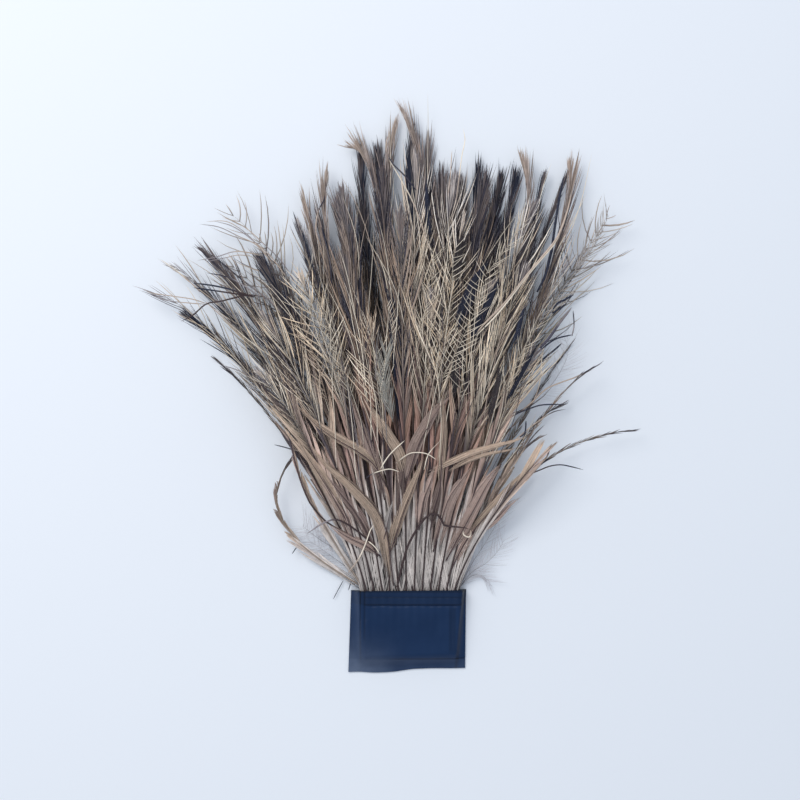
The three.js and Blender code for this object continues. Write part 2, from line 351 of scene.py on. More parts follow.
def barb_heights(rng, layer, path, out, root_at, side, lift):
    """Heights over the layer, tilted in waves along the shaft, and each barb's rise by chance."""
    t = np.linspace(0, 1, BARB_ROWS)
    wave = rng.uniform(0, 2 * math.pi, 2)
    twist = np.radians(16) * np.sin(root_at / 37 + wave[0]) + np.radians(9) * np.sin(root_at / 17 + wave[1])
    z = layer_height(layer, path[..., 0], path[..., 1])
    z = z + out * np.sin(twist * side)[:, None] * 0.8 - 0.3 * (1 - t)
    rise = np.clip(0.8 * lift + 0.35 * rng.normal(0, 1, len(root_at)), -1.6, 1.6)
    return z, rise


def barb_colours(rng, style, layer, root, share, place, openness, turn, shade, is_light):
    """Smooth tan low down, light and dark strands in the open part, and the style's colour at the tip."""
    smooth = blend(PINK, GOLD, np.clip(0.35 + 0.6 * turn, 0, 1))
    smooth = blend(smooth, BROWN * 1.3, is_light & (turn < -0.2) & (place > 45))
    smooth = blend(GREY_TAN, smooth, ease(place, 12, 62))
    flank = ease(np.abs(root[:, 0] - 2), 14, 50)
    red = blend(RED_SHADE, np.ones(3), flank) * LAYER_TONE[layer]
    smooth *= 1 + (red - 1) * ease(place, 20, 70)[:, None]
    # at the far, open end the painted shade of the deeper layers is lifted and a painted bluish skylight
    # tints the strands
    far = ease(np.hypot(root[:, 0], root[:, 1]), 185, 245)
    light = blend(style["light"], style["light"] * TAN_SHIFT, np.clip(0.5 + 0.5 * shade, 0, 1))
    opened = np.where(is_light[:, None], light, style["dark"])
    opened *= lerp(LAYER_TONE[layer], max(LAYER_TONE[layer], 0.95), far)[:, None]
    opened *= blend(np.ones(3), COOL_SHADE, far)
    colour = blend(smooth, opened, openness)
    tip_share = ease(share, style["tip_from"], style["tip_from"] + 0.12)
    colour = blend(colour, style["tip"], tip_share * np.where(is_light, 0.6, 0.9))
    glow = 1 + lerp(0.16, 0.20, openness) * np.abs(shade) - 0.1 + 0.12 * rng.normal(0, 1, len(place))
    colour *= lerp(lerp(0.86, 1.24, flank), 1, ease(place, 70, 110))[:, None]
    colour *= np.clip(glow, 0.5, 1.6)[:, None]
    return colour[:, None, :] * BARB_SHADE[:, None]


def add_barbs(parts, rng, style, layer, run, trace, direction, length):
    """Both rows of barbs of one plume."""
    root_at, side = barb_roots(rng, style, length)
    number = len(root_at)
    place = root_at + rng.normal(0, 8)
    openness = ease(place, SMOOTH_UNTIL - 20, SMOOTH_UNTIL + 20)
    to_tip = length - root_at
    low_angle = np.interp(place, [0, 25, 60, 100], [3.5, 4.5, 8, 10])
    open_angle = np.interp(place, [170, 210], style["angle"])
    open_angle *= 1 + 0.3 * np.sin(root_at / 21 + rng.uniform(0, 6.3))
    angle = lerp(low_angle, open_angle, openness)
    angle *= np.interp(to_tip, [0, 30], [style["tip_angle"], 1])
    low_reach = np.interp(place, [20, 45], [30, 29 * style["low_length"]])
    low_reach = np.where(place > 45, 28 * style["low_length"], low_reach)
    reach = lerp(low_reach, style["length"], openness)
    ragged = 2 + 3 * np.abs(rng.normal(0, 1, number))
    reach = np.minimum(reach, to_tip * lerp(1.0, style["blunt"], openness) + ragged)

    # barbs that cling together share their turns of chance
    cling = lerp(16.0, 1.5, openness > 0.4)
    clump = np.floor(root_at / cling + side * 0.25) * 2 + (side > 0)
    _, index = np.unique(clump, return_inverse=True)
    clumps = index.max() + 1
    turn, lift, shade, longer = (rng.normal(0, 1, clumps)[index] for _ in range(4))
    is_light = (rng.uniform(0, 1, clumps) < style["share"])[index]
    smooth_turn = 3.2 * turn * ease(place, 15, 60)
    angle += lerp(smooth_turn, open_angle * 0.28 * turn, openness)
    angle = np.maximum(angle + rng.normal(0, 1, number) * lerp(0.8, 2.0, openness), -6)
    reach = np.maximum(reach * (1 + 0.12 * rng.normal(0, 1, number) + 0.12 * longer), 3)

    root = along_trace(run, root_at, trace)
    forward = unit(along_trace(run, root_at, direction))
    aside = right_of(forward) * side[:, None]
    # in the mouth the barbs come side by side, as a ribbon
    ribbon = 1 - ease(root_at, -2, 16)
    root += aside * (ribbon * rng.uniform(-0.3, 2.5, number))[:, None]
    angle *= 1 - 0.8 * ribbon
    t = np.linspace(0, 1, BARB_ROWS)
    first, last = style["curve"]
    bend = np.radians(angle[:, None] * lerp(first, last, t))
    bend += np.radians(rng.normal(0, 5, number) * openness)[:, None] * t
    path, out = bent_barbs(root, forward, aside, bend, reach[:, None] / (BARB_ROWS - 1))

    ends = path[:, -1]
    counts = np.bincount(index)
    centre = np.stack([np.bincount(index, end) / counts for end in ends.T], 1)[index]
    pull = (lerp(0.62, 0.5, openness) * (1 - 0.9 * ribbon))[:, None, None] * (t ** 1.6)[:, None]
    path += (centre - ends)[:, None, :] * pull

    z, rise = barb_heights(rng, layer, path, out, root_at, side, lift)
    rise *= ease(place, -5, 60)
    rise += np.where(is_light, 0.4, -0.4) * openness
    z = np.maximum(z + rise[:, None] * t ** 1.5, 0.2)
    strand = np.where(is_light, LIGHT_WIDTH, DARK_WIDTH) * np.exp(0.22 * longer) * style["bold"]
    width = lerp(BLADE_WIDTH, strand, openness)[:, None] * BARB_TAPER
    colours = barb_colours(
        rng, style, layer, root, root_at / length, place, openness, turn, shade, is_light)
    tubes(parts, np.dstack([path, z]), width, width * 0.55, colours)


# Routes are given as points of the picture: millimetres to a point, and where the origin lies
PIXEL = 0.585
ORIGIN = np.array([407.5, 630.0])


def on_layer(layer, lift, points, rows):
    """A smooth curve through picture points, raised over a layer, in even steps (Catmull-Rom)."""
    plan = (np.array(points, float) - ORIGIN) * np.array([PIXEL, -PIXEL])
    padded = np.vstack([2 * plan[0] - plan[1], plan, 2 * plan[-1] - plan[-2]])
    t = np.linspace(0, 1, 12, endpoint=False)[:, None]
    pieces = []
    for a, b, c, d in zip(padded, padded[1:], padded[2:], padded[3:]):
        squared, cubed = 2 * a - 5 * b + 4 * c - d, 3 * b - a - 3 * c + d
        pieces.append(0.5 * (2 * b + (c - a) * t + squared * t ** 2 + cubed * t ** 3))
    fine = np.vstack(pieces + [plan[-1:]])
    run = run_along(fine)
    even = along_trace(run, np.linspace(0, run[-1], rows), fine)
    z = layer_height(layer, even[:, 0], even[:, 1])
    z = np.maximum(z + lift * ease(np.linspace(0, 1, rows), 0, 0.2), 0.3)
    seen = CAMERA_CENTRE + (even - CAMERA_CENTRE) * (1 - z / CAMERA_HEIGHT)[:, None]
    return np.column_stack([seen, z])


# Loose shafts and barbs on top of the bunch: layer, height over it, width, one colour, or the colours
# of both ends and the share of the length where the second one starts, and the route
STRAYS = [
    # the bare dark shaft that curls over to the right, and its pale end
    (5, 3, 1.5, SHAFT, SHAFT * 1.4, 0.9, [
        (397, 587), (402, 566), (407, 548), (415, 532), (425, 518), (434, 513), (440, 517), (444, 525),
        (454, 526.5), (464, 527.5), (471, 529.5)]),
    (5, 3, 1, TAN, CREAM * 0.9, 0.3, [(470, 529), (471, 533), (469, 537), (464, 535), (463, 531)]),
    # the arch and the long shaft that leave the left side
    (5, 1.6, 1.1, SHAFT, GREY, 0.6, [
        (376, 546), (366, 538), (356, 530), (347, 524), (337, 519.5), (328, 521), (318, 526), (306, 534.5)]),
    (4, 2.5, 1.1, SHAFT, SHAFT * 1.6, 0.6, [
        (380, 556), (370, 547), (358, 540), (342, 531), (328, 523), (319, 514.5), (310, 503), (304, 490),
        (299, 476), (294, 458), (291, 440)]),
    (3, 1, 0.7, TAN, NAVY, 0.35, [(306, 452), (293, 449.5), (284, 447), (274, 444.5)]),
    # pale barbs that cross the others
    (5, 2.2, 0.8, TAN, CREAM, 0.3, [(348, 573), (358.5, 559), (365, 545), (370, 531), (374, 524)]),
    (5, 1.6, 0.7, CREAM, GREY, 0.7, [(367, 540), (375, 547), (382, 557)]),
    (5, 2, 0.7, DARK, CREAM * 0.85, 0.2, [(366, 478), (372, 474), (380, 471), (390, 469), (400, 472)]),
    (5, 2.2, 0.7, CREAM * 0.7, CREAM * 0.9, 0.3, [
        (396, 463), (405, 456), (413, 452.6), (426, 453.5), (437, 460)]),
    (5, 2.2, 0.7, CREAM, [(380, 470), (385, 461), (392, 452), (405, 440)]),
    (5, 1.6, 0.6, CREAM, TAN, 0.5, [(424, 470), (428, 455), (437, 444), (446, 436)]),
    # strays of the right side
    (4, 1.5, 0.9, TAN, NAVY, 0.72, [
        (520, 412), (532, 402), (546, 389), (562, 382), (578, 376), (598, 364.5)]),
    (4, 2, 0.7, CREAM, TAN, 0.6, [(544, 346), (541.5, 360), (541, 373), (538, 389), (532, 405)]),
    (4, 1, 0.9, DARK, NAVY, 0.4, [
        (500, 424), (516, 414), (531, 408), (541, 405), (554, 404.3), (565, 404.5)]),
    (4, 1, 0.7, TAN, DARK, 0.7, [(500, 452), (515, 440), (528, 429), (540, 420), (553, 412), (566, 409)]),
    (4, 1, 0.7, TAN, SHAFT, 0.5, [(505, 478), (516, 462), (526, 446), (535, 434), (545, 424.5)]),
    (3, 1, 0.8, SHAFT, NAVY, 0.5, [
        (520, 480), (530, 474), (541, 469.5), (550, 466), (561, 464.7), (573, 467), (584, 469.8)]),
    (4, 1.4, 1, TAN, NAVY, 0.65, [(528, 478), (539, 466), (546, 458), (549, 451), (551.5, 443.5)]),
    (4, 1.4, 0.9, TAN, NAVY, 0.4, [(528, 478), (540, 465), (549.7, 457.5)]),
    (5, 1.2, 1, DARK, NAVY, 0.3, [(520, 437), (525, 432), (526, 420.5)]),
    (4, 1.2, 1.2, NAVY, [(536, 365), (548, 355), (556, 348.5), (562, 343)]),
    # thin tips over the top of the fan
    (4, 1, 0.6, TAN, TAN * 1.3, 0.3, [(447, 200), (450, 180), (451, 165), (452, 150)]),
    (4, 1, 0.6, TAN, CREAM, 0.3, [(456, 200), (459, 178), (462, 155), (465, 140), (463, 128)]),
    (5, 0.8, 0.9, DARK, TAN, 0.6, [(416, 190), (405, 176), (394, 165), (388, 155), (386, 145), (390, 130)]),
    (5, 0.8, 0.8, TAN, CREAM * 0.8, 0.5, [(430, 250), (420, 220), (412, 200), (400, 178), (388, 158)]),
    (3, 1, 0.8, NAVY, [(320, 290), (314, 270), (307, 248), (302, 232), (299, 225)]),
    (3, 1, 1.2, DARK, NAVY, 0.3, [(332, 285), (330, 262), (326, 243), (321, 226)]),
    (3, 1, 0.9, TAN, DARK, 0.5, [(322, 250), (316, 232), (318, 212), (325, 197), (326, 180)]),
    (3, 1, 0.7, GREY, TAN, 0.5, [(322, 246), (314, 226), (307, 208), (303, 194), (301, 184)]),
    # dark blades of the left wing
    (5, 3, 1.1, SHAFT, NAVY, 0.3, [(254, 297), (244, 294), (229, 289), (213, 285.5), (194, 283)]),
    (5, 3, 1, SHAFT, NAVY, 0.5, [(252, 295.5), (241, 294.5), (221, 291.5), (193, 287.5)]),
    (5, 3, 1, SHAFT, [
        (256, 295), (242, 296), (221.5, 301), (206, 304), (193, 315), (180.5, 321.5)]),
    (4, 2, 0.8, GREY, DARK, 0.5, [(260, 297), (246, 287), (229, 277.5), (206, 272.5)]),
    (4, 1.5, 1.4, DARK, NAVY, 0.2, [(290, 372), (276, 352), (266, 337), (255, 319)]),
    (3, 1, 1, GREY, DARK, 0.5, [
        (296, 325), (280, 310), (262, 295), (240, 278), (222, 263), (209, 253)]),
    # long arcs over the left wing and at its far tip
    (4, 2, 0.6, GREY, TAN, 0.5, [(296, 284), (282, 262), (264, 244), (246, 228), (228, 218)]),
    (4, 2, 0.6, TAN, GREY, 0.5, [(290, 282), (272, 258), (250, 238), (232, 226), (214, 221)]),
    (4, 2.2, 0.6, TAN, GREY, 0.5, [(276, 268), (258, 246), (238, 236), (219, 227), (199, 224)]),
    (4, 2, 0.5, GREY, TAN, 0.5, [(266, 254), (250, 237), (236, 226), (224, 221), (206, 221.5)]),
    (4, 2.2, 0.6, TAN, GREY, 0.4, [(262, 256), (246, 252), (232, 252), (216, 257), (197, 260.5)]),
    (4, 2.2, 0.5, TAN, GREY, 0.4, [(250, 256), (238, 255), (224, 258), (208, 261), (203, 259)]),
    (5, 2.5, 0.6, TAN, [(205, 303), (192, 299), (172, 296), (158, 294), (147, 292)]),
    (5, 2.5, 0.6, TAN, GREY, 0.4, [(204, 304), (190, 303), (170, 301), (160, 298), (153, 293)]),
    (5, 2.5, 0.6, TAN, CREAM * 0.8, 0.4, [(200, 292), (190, 282), (176, 270), (160, 259)]),
    (4, 2.5, 0.6, TAN, CREAM * 0.8, 0.4, [(206, 302), (228, 322), (246, 338), (262, 350), (280, 362)]),
    # faint wisps low on the left side
    (2, 1, 0.6, DARK, GREY, 0.4, [(268, 388), (254, 379), (240, 371), (222, 365)]),
    (2, 1, 0.8, DARK, NAVY, 0.4, [(262, 384), (252, 375), (242, 366.5)]),
    # combs and arcs of the right side
    (5, 2, 1.2, NAVY, [(553, 309), (558, 303), (565, 299.5), (574, 294.5)]),
    (5, 2, 0.9, NAVY, [(552, 313), (559, 309), (567, 303)]),
    (5, 2, 1.6, DARK * 1.5, GREY * 0.7, 0.5, [(540, 348), (549, 338), (561, 321), (572, 307)]),
    (5, 1.5, 1, NAVY, [(541, 350), (549, 343), (558, 338), (573, 334.5)]),
    (5, 1.5, 0.8, GREY, DARK, 0.4, [(572, 336), (574, 325), (573, 310)]),
    # the tan plume that sweeps to the tip at the right
    (5, 3, 1.3, TAN, TAN * 1.2, 0.4, [
        (472, 338), (486, 322), (501, 307), (516, 289), (530, 271), (546, 252), (558, 236), (567, 212),
        (572, 190)]),
    (5, 3, 0.8, CREAM, CREAM * 0.8, 0.4, [(476, 336), (500, 311), (529, 274), (553, 246), (561, 232)]),
    # the navy blade beside it
    (4, 2, 1.7, NAVY, [
        (537, 292), (545, 276), (549, 260), (552, 247), (555, 225), (559, 200), (564, 176)]),
    # small dark barbs beside the wrap
    (1, 0.4, 0.6, NAVY, [(352, 578), (350, 585), (348.3, 590.5)]),
    (0, 0.2, 0.5, NAVY, [(343, 581), (338, 590), (333, 599.5)]),
    (1, 0.4, 0.6, DARK, NAVY, 0.5, [(301, 542.5), (296, 548), (292, 554)]),
]
STRAY_ROWS = 20
WISPS = 260
WISP_ROWS = 12


def add_loose(parts, name, material):
    piece = parts.to_object(name, material)
    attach(piece, "root")


def make_strays(material):
    parts = MeshParts()
    share = np.linspace(0, 1, STRAY_ROWS)
    for layer, lift, width, *paint, route in STRAYS:
        first, second, turn_at = paint if len(paint) == 3 else (*paint, *paint, 1)
        path = on_layer(layer, lift, route, STRAY_ROWS)
        widths = width * np.interp(share, [0, 0.15, 0.85, 1], [0.6, 1, 0.85, 0.2])
        colours = blend(first, second, ease(share, turn_at - 0.05, turn_at + 0.15))
        tube(parts, path, widths, 0.6, colours, sides=5)
    add_loose(parts, "loose_barbs", material)


def make_wisps(material):
    """Long loose barbs that wander over the upper plumes."""
    parts = MeshParts()
    rng = np.random.default_rng(5)
    colours = [CREAM, CREAM * 0.8, TAN, GREY, BROWN, DARK]
    t = np.linspace(0, 1, WISP_ROWS)
    for _ in range(WISPS):
        layer, place = rng.integers(3, 6), rng.integers(1, PLUMES - 1)
        tip = TIPS[layer][place]
        if tip[3] in "skwo":
            continue
        curve, length = shaft_points(layer, place, tip)
        first = rng.uniform(0.3, 0.8)
        reach = min(rng.uniform(35, 80), (1 - first) * length)
        row = int(first * (len(curve) - 1))
        forward = curve[min(row + 8, len(curve) - 1)] - curve[row]
        heading = math.atan2(forward[0], forward[1]) + math.radians(rng.normal(0, 8))
        turning = heading + math.radians(rng.normal(0, 12)) * t
        turning += math.radians(4) * np.sin(t * rng.uniform(4, 8))
        step = reach / (WISP_ROWS - 1)
        plan = curve[row] + rng.normal(0, 3, 2) + step * np.column_stack([
            np.cumsum(np.sin(turning)), np.cumsum(np.cos(turning))])
        z = layer_height(layer, plan[:, 0], plan[:, 1]) + rng.uniform(0.6, 2.0)
        widths = rng.uniform(0.4, 0.6) * np.interp(t, [0, 0.1, 0.7, 1], [0.4, 1, 0.8, 0.15])
        colour = np.tile(colours[rng.choice(6, p=[0.3, 0.2, 0.2, 0.1, 0.12, 0.08])], (WISP_ROWS, 1))
        tube(parts, np.column_stack([plan, z]), widths, 0.6, colour)
    add_loose(parts, "long_barbs", material)


# Matted vanes that cross the others on top: layer, height over it, width, colour, the route and, where
# a shaft shows, its place across, from -1 at the left edge to 1
VANES = [
    (5, 1.4, 6.5, GOLD, [
        (391.6, 586), (386.4, 555), (382, 531), (372.7, 510.5), (359, 495), (341.7, 478), (322.7, 462),
        (306, 438)], 0.8),
    (5, 1.2, 5.5, PINK * 1.1, [(380, 556), (366, 546), (347, 536.5), (327, 523)], 0),
    (5, 1.2, 6, GOLD * 0.95, [(386, 560), (399, 517), (408.8, 493), (417.4, 472.7), (424, 453)], 0.6),
    (5, 1, 4, GREY_TAN * 0.8, [(381, 548), (387, 520), (393.3, 499)], 0.4),
    (5, 1.4, 3.8, GOLD * 1.3, [
        (425, 474), (450, 462), (473, 452), (500, 444.5), (520, 439), (530, 433)]),
    (5, 1.2, 2.2, GOLD, [(440, 476), (465, 462), (488, 454), (510, 450), (520, 446)]),
    (4, 1.4, 6.5, PINK * 1.2, [
        (448, 576), (462, 546), (472, 533), (494, 520), (511, 503), (524, 495)], 0.1),
    (4, 1.6, 5, GOLD, [(460, 546), (480, 521), (497, 502), (514, 484), (531, 467), (546.6, 458)], 0.3),
    (5, 0.9, 9, PINK * 1.05, [
        (445, 560), (462, 526), (472.5, 507), (484.6, 486), (497, 469), (506, 460)], 0.3),
    (5, 0.7, 8, PINK * 0.95, [(434, 552), (443.3, 521), (450, 500), (460.5, 483), (474, 464)], -0.3),
    (5, 0.9, 5.5, UMBER, [(430, 530), (433, 510), (438, 493), (441.5, 470)], 0.2),
    (5, 1, 5.5, GOLD, [(388, 487), (376, 464), (359, 450), (338, 438), (316, 423), (293, 402)], -0.5),
    (5, 1, 6.5, GOLD * 0.9, [(406, 480), (400, 455), (390, 438), (376, 416), (364, 398)]),
    (5, 0.6, 6.5, PINK * 0.85, [(384, 500), (377, 470), (366, 440), (356, 412), (351, 396)], 0.2),
    (5, 1.2, 7, PINK * 0.9, [(404, 486), (414, 448.5), (424.3, 428), (436.4, 409), (457, 390)], 0.5),
    (5, 1.2, 4.5, GOLD * 0.8, [(440, 490), (441.5, 459), (443.8, 433), (443.8, 410), (441.5, 392)], 0),
    (5, 0.8, 6.5, PINK * 1.15, [(356, 548), (341.7, 510), (326, 486), (314, 460)], 0.3),
    (5, 0.6, 6.5, UMBER * 1.4, [(378, 556), (365.8, 528), (355, 510), (341, 493), (322, 470)], -0.2),
    (5, 0.8, 6, PINK * 1.1, [(418, 530), (422, 500), (430, 480), (436, 462)], 0.4),
    (5, 0.5, 7, UMBER * 0.85, [(396, 545), (397, 520), (399, 497), (403, 470), (408, 450)], 0.1),
    (5, 0.8, 7, GOLD * 1.05, [(352, 530), (336, 500), (320, 474), (305, 452), (296, 436)], -0.2),
    # dark bars that show between the tan strands: partly dark barbs, partly painted shade laid in the deep
    # gaps
    (4, 1.6, 4.6, NAVY * 1.4, [(401, 436), (399, 400), (396, 360), (393, 320), (389, 298), (383, 280)]),
    (4, 0.8, 4.6, NAVY, [(413, 226), (411, 200), (409.5, 175), (408, 155), (405, 138)]),
    (4, 0.8, 3.4, NAVY * 1.2, [(431, 250), (429, 225), (427, 200), (426, 172)]),
    (5, 0.8, 5, BROWN * 0.5, [(455, 286), (457, 266), (460, 246), (464, 226)]),
    (5, 0.9, 7, NAVY * 0.9, [(457, 334), (466, 304), (478, 277), (492, 256)]),
    (5, 0.7, 5, NAVY, [(468, 346), (480, 320), (491, 297), (501, 272)]),
    (5, 1, 6, BROWN * 0.5, [(450, 404), (456, 374), (461, 348), (464, 322)]),
    (5, 0.8, 3.6, BROWN * 0.5, [(464, 398), (472, 372), (477, 350)]),
    (5, 0.5, 2.4, NAVY, [(505, 404), (518, 380), (530, 358), (541, 338)]),
    (5, 0.6, 2.6, NAVY * 1.2, [(511, 354), (517, 335), (521, 318), (527, 300)]),
    (5, 0.6, 3, BROWN * 0.7, [(487, 427), (492, 405), (497, 385), (500, 362)]),
]
VANE_ROWS = 14


def add_vane(parts, rng, layer, lift, width, colour, route, shaft_place=None):
    """A flat bundle of parallel barbs that narrows to a point, with a dark shaft where it has one."""
    spine = on_layer(layer, lift, route, VANE_ROWS)
    share = np.linspace(0, 1, VANE_ROWS)
    aside = right_of(unit(np.gradient(spine[:, :2], axis=0)))
    half = width / 2 * np.interp(share, [0, 0.3, 0.6, 1], [0.45, 1, 0.85, 0.05])
    number = int(width / 0.26)
    for offset in np.linspace(-1, 1, number):
        first, last = rng.uniform(0, 0.25), rng.uniform(0.75, 1)
        at = np.linspace(first, last, VANE_ROWS) * (VANE_ROWS - 1)
        sway = 0.25 * np.sin(share * rng.uniform(3, 7) + rng.uniform(0, 6.3))
        plan = spine[:, :2] + aside * (half * offset + sway * (1 - share))[:, None]
        height = spine[:, 2] + 0.7 * (1 - offset ** 2) - 0.5 + rng.normal(0, 0.15)
        path = along_trace(np.arange(VANE_ROWS), at, np.column_stack([plan, height]))
        widths = 0.5 * np.interp(share, [0, 0.1, 0.8, 1], [0.3, 1, 0.8, 0.15])
        tone = np.clip(rng.normal(1, 0.18), 0.5, 1.5) * np.interp(share, [0, 0.2, 1], [0.8, 1, 1.05])
        tube(parts, path, widths, 0.6, colour * tone[:, None])
    if shaft_place is not None:
        plan = spine[:, :2] + aside * (half * shaft_place)[:, None]
        path = np.column_stack([plan, spine[:, 2] + 0.7])[: VANE_ROWS - 2]
        widths = np.linspace(0.75, 0.2, VANE_ROWS - 2)
        colours = np.tile(SHAFT * 1.6, (VANE_ROWS - 2, 1))
        tube(parts, path, widths, 0.6, colours, sides=5)


def make_vanes(material):
    parts = MeshParts()
    rng = np.random.default_rng(41)
    for vane in VANES:
        add_vane(parts, rng, *vane)
    add_loose(parts, "crossing_vanes", material)


# Shafts with a fringe of barbs: layer, height over it, shaft width, barb width, barb length, angle,
# number of barbs, colour, the sides that have barbs, and the route
LEFT, RIGHT, BOTH = (-1,), (1,), (-1, 1)
# Barbs that stand in V rows on top of the dark patches
LONG_V = [
    (438, 387), (446, 372), (453, 358), (461, 341), (468.4, 325.8), (476, 306.6), (482, 288), (488, 272)]
V_ROWS = [
    (5, 2, 0.7, 0.42, 12, 58, 22, CREAM, LEFT, LONG_V),
    (5, 2, 0.7, 0.42, 15, 32, 22, CREAM, RIGHT, LONG_V),
    (5, 2, 0.5, 0.40, 10, 50, 8, CREAM, RIGHT, [(452, 282), (453, 265), (455, 248)]),
    (5, 1.6, 0.5, 0.40, 14, 22, 20, CREAM * 0.9, BOTH, [
        (486, 274), (494, 264), (503, 253), (515, 236), (524, 222)]),
    (5, 2, 0.5, 0.38, 11, 46, 16, CREAM * 0.9, BOTH, [(459, 398), (463, 378), (466, 359), (468, 340)]),
    (5, 1.6, 0.4, 0.36, 9, 38, 9, CREAM, RIGHT, [(393, 338), (391, 326), (389, 314), (387, 306)]),
    (5, 1.6, 0.4, 0.36, 12, 34, 26, GOLD * 1.3, BOTH, [
        (330, 410), (324, 388), (318, 366), (310, 344), (300, 322)]),
    (5, 1.4, 0.4, 0.36, 12, 30, 26, CREAM * 0.85, BOTH, [
        (352, 404), (345, 380), (338, 356), (330, 332), (320, 310)]),
    (5, 2, 0.5, 0.42, 15, 18, 72, PALE_GREEN, BOTH, [
        (393, 422), (389, 404), (386, 388), (385, 370), (386, 352)]),
    (5, 1.6, 0.4, 0.36, 12, 28, 20, CREAM * 0.9, BOTH, [
        (505, 392), (511, 375), (519, 357), (529, 340), (537, 326)]),
    (5, 1.6, 0.4, 0.36, 11, 32, 24, CREAM * 0.9, BOTH, [
        (420, 345), (423, 322), (427, 300), (430, 276), (434, 254)]),
    (4, 1.8, 0.5, 0.40, 16, 30, 18, GREY_TAN * 0.9, RIGHT, [
        (539, 322), (554, 300), (568, 282), (580, 264), (590, 250)]),
    (4, 1.8, 0.5, 0.40, 14, 28, 18, GREY_TAN * 0.9, LEFT, [
        (574, 272), (584, 260), (594, 246), (602, 232), (608, 217)]),
]
# Pale fine down at both sides of the mouth and at the right: layer, shaft width, barb length, angle
# and the route
DOWN = [
    (1, 0.5, 13, 38, [(360, 584), (348, 569), (337, 560), (320, 548), (306, 538)]),
    (1, 0.5, 11, 30, [(359, 578), (350, 560), (338, 545), (326, 533)]),
    (2, 0.6, 15, 46, [(340, 552), (322, 541), (310, 532), (303, 526)]),
    (1, 0.5, 15, 34, [(462, 584), (472, 572), (486, 563), (497, 552), (504, 540)]),
    (2, 0.5, 14, 26, [(463, 580), (474, 560), (484, 545), (494, 528), (503, 512)]),
    (1, 0.5, 11, 30, [(461, 586), (470, 577), (480, 575), (490, 582)]),
    (1, 0.4, 16, 40, [(530, 400), (548, 388), (560, 372), (568, 352), (564, 335)]),
]
DOWN_LIFT = 0.5
DOWN_WIDTH = 0.12
DOWN_COUNT = 80
FRINGE_ROWS = 60


def down_fringe(layer, shaft, reach, angle, route):
    return layer, DOWN_LIFT, shaft, DOWN_WIDTH, reach, angle, DOWN_COUNT, DOWN_COLOUR, BOTH, route


def add_fringe(parts, rng, layer, lift, shaft, barb, reach, angle, number, colour, sides, route):
    path = on_layer(layer, lift, route, FRINGE_ROWS)
    widths = np.linspace(shaft, 0.1, FRINGE_ROWS)
    tube(parts, path, widths, 1, np.tile(colour * 0.6, (FRINGE_ROWS, 1)))
    at = (np.linspace(0.03, 1.0, number) + rng.normal(0, 0.008, number)) * (FRINGE_ROWS - 1)
    root = along_trace(np.arange(FRINGE_ROWS), at, path)
    tangent = unit(along_trace(np.arange(FRINGE_ROWS), at, np.gradient(path, axis=0))[:, :2])
    side = rng.choice(np.array(sides, float), number)
    aside = right_of(tangent) * side[:, None]
    turn = np.radians(angle + rng.normal(0, 0.15 * angle, number))
    t = np.linspace(0, 1, BARB_ROWS)
    bend = turn[:, None] * (1.12 - 0.3 * t)
    step = (reach * rng.uniform(0.6, 1.15, number))[:, None] / (BARB_ROWS - 1)
    plan, _ = bent_barbs(root[:, :2], tangent, aside, bend, step)
    z = np.maximum(root[:, None, 2] + rng.normal(0, 0.8, number)[:, None] * t, 0.2)
    widths = np.full((number, 1), barb) * np.array([1, 1, 0.9, 0.7, 0.1])
    shades = colour * rng.uniform(0.7, 1.2, number)[:, None]
    colours = np.repeat(shades[:, None, :], BARB_ROWS, axis=1)
    tubes(parts, np.dstack([plan, z]), widths, widths * 0.7, colours)


def make_fringes(name, fringes, seed, material):
    parts = MeshParts()
    rng = np.random.default_rng(seed)
    for fringe in fringes:
        add_fringe(parts, rng, *fringe)
    add_loose(parts, name, material)


def new_material(name):
    material = bpy.data.materials.new(name)
    material.use_nodes = True
    return material, material.node_tree, material.node_tree.nodes["Principled BSDF"]


def set_inputs(node, values):
    for name, value in values.items():
        node.inputs[name].default_value = value
    return node


def add_node(tree, kind, values=None):
    return set_inputs(tree.nodes.new("ShaderNode" + kind), values or {})


def set_links(pairs):
    for source, target in pairs:
        source.id_data.links.new(source, target)


def feather_material(name):
    """Takes its colour from the vertices, with a fine mottling."""
    material, tree, shader = new_material(name)
    set_inputs(shader, {"Roughness": 0.62, "Specular IOR Level": 0.35})
    tint = add_node(tree, "Attribute")
    tint.attribute_name = "tint"
    where = add_node(tree, "TexCoord")
    noise = add_node(tree, "TexNoise", {"Scale": 350, "Detail": 3})
    ramp = add_node(tree, "MapRange", {"To Min": 0.78, "To Max": 1.22})
    mix = add_node(tree, "VectorMath")
    mix.operation = "MULTIPLY"
    set_links([
        (where.outputs["Object"], noise.inputs["Vector"]),
        (noise.outputs["Fac"], ramp.inputs["Value"]),
        (tint.outputs["Color"], mix.inputs[0]),
        (ramp.outputs["Result"], mix.inputs[1]),
        (mix.outputs["Vector"], shader.inputs["Base Color"]),
    ])
    return material


def make_feathers(material):
    for layer, tips in enumerate(TIPS):
        for pair in range(PLUMES // 2):
            node = f"{LAYER_NAMES[layer]}_feather_{pair + 1}"
            rng = np.random.default_rng(1000 + layer * 100 + pair)
            parts = MeshParts()
            for place in (2 * pair, 2 * pair + 1):
                plume(parts, rng, layer, place, tips[place])
            piece = parts.to_object("barbed_" + node, material)
            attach(piece, "root")
            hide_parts(node)


